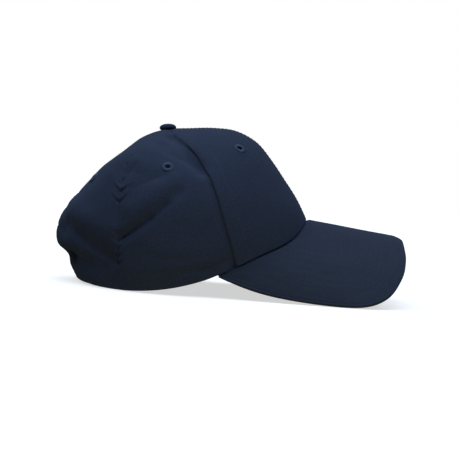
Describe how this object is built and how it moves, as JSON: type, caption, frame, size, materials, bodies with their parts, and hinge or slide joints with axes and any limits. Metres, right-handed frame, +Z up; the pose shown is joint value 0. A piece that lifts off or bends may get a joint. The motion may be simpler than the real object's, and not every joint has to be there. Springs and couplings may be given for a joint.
{
  "type": "baseball cap",
  "caption": "Navy cloth cap with a panelled round crown, a covered top button, sewn eyelets and a stiff curved visor, resting on its hem and visor edges.",
  "frame": {"origin": "on the floor that the cap rests on, under the middle of the head opening", "axes": "+X forward to the visor's tip, +Y to the wearer's left, +Z up from the floor"},
  "size_m": [0.2656, 0.1691, 0.1248],
  "materials": {
    "crown_cloth": "matte navy cotton twill",
    "visor_cloth": "matte navy cotton twill",
    "button_cloth": "matte navy cotton twill",
    "eyelet_thread": "satin navy embroidery thread"
  },
  "bodies": {
    "root": {"front_panel_right": "crown_cloth", "front_panel_left": "crown_cloth", "side_panel_right": "crown_cloth", "side_panel_left": "crown_cloth", "rear_panel_right": "crown_cloth", "rear_panel_left": "crown_cloth", "eyelet_front_right": "eyelet_thread", "eyelet_front_left": "eyelet_thread", "eyelet_side_right": "eyelet_thread", "eyelet_side_left": "eyelet_thread", "eyelet_rear_right": "eyelet_thread", "eyelet_rear_left": "eyelet_thread", "button": "button_cloth", "visor_top": "visor_cloth", "visor_underside": "visor_cloth"}
  },
  "joints": []
}
